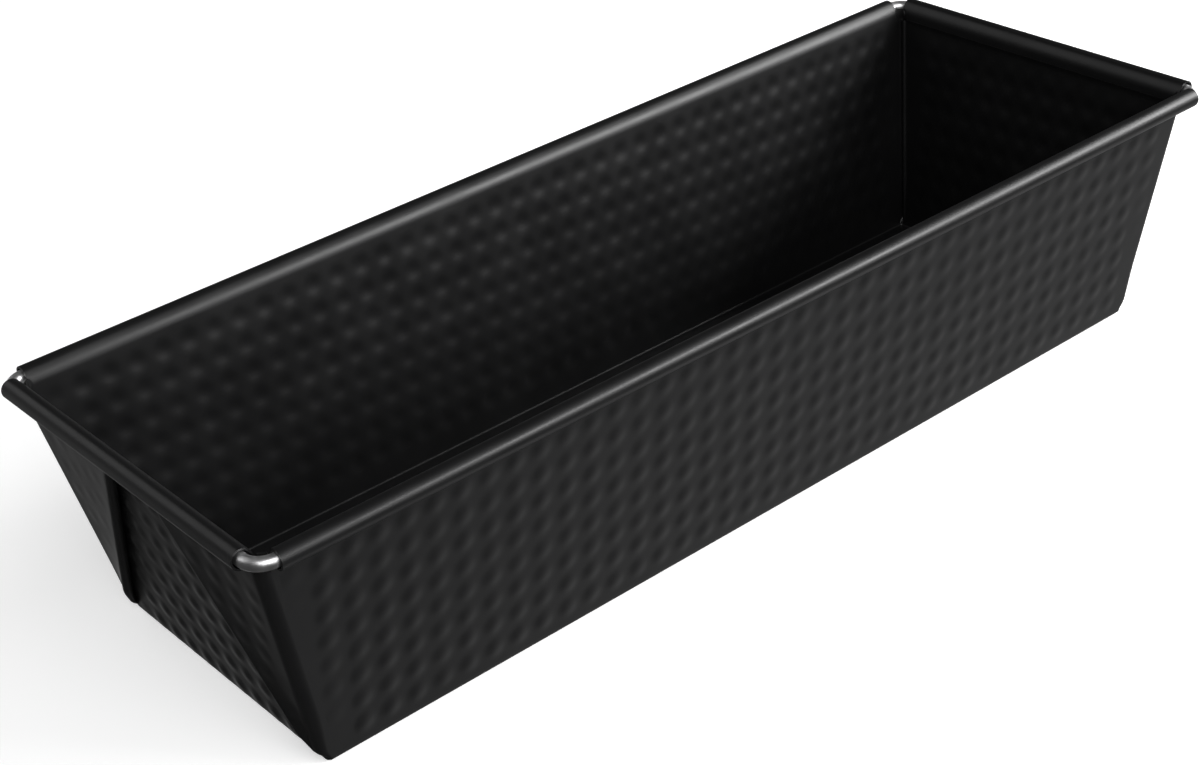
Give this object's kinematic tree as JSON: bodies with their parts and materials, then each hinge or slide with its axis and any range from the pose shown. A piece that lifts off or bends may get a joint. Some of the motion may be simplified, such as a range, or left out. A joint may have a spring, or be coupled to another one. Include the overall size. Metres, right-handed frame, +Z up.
{
  "type": "loaf tin",
  "caption": "Long rectangular loaf tin folded from one embossed non-stick steel sheet, with leaning walls and a rim rolled over a steel wire.",
  "frame": {"origin": "centre of the base, on the surface that the tin stands on", "axes": "+X along the tin, +Y towards its back long wall, +Z up out of its mouth"},
  "size_m": [0.301, 0.1126, 0.0673],
  "materials": {
    "coated_sheet": "satin black non-stick coating over steel sheet",
    "bright_wire": "bright drawn steel wire"
  },
  "bodies": {
    "root": {"floor_panel": "coated_sheet", "front_wall": "coated_sheet", "back_wall": "coated_sheet", "left_end_wall": "coated_sheet", "right_end_wall": "coated_sheet", "front_left_corner_fold": "coated_sheet", "back_left_corner_fold": "coated_sheet", "front_right_corner_fold": "coated_sheet", "back_right_corner_fold": "coated_sheet", "front_rim_roll": "coated_sheet", "back_rim_roll": "coated_sheet", "left_rim_roll": "coated_sheet", "right_rim_roll": "coated_sheet", "rim_wire": "bright_wire"}
  },
  "joints": []
}
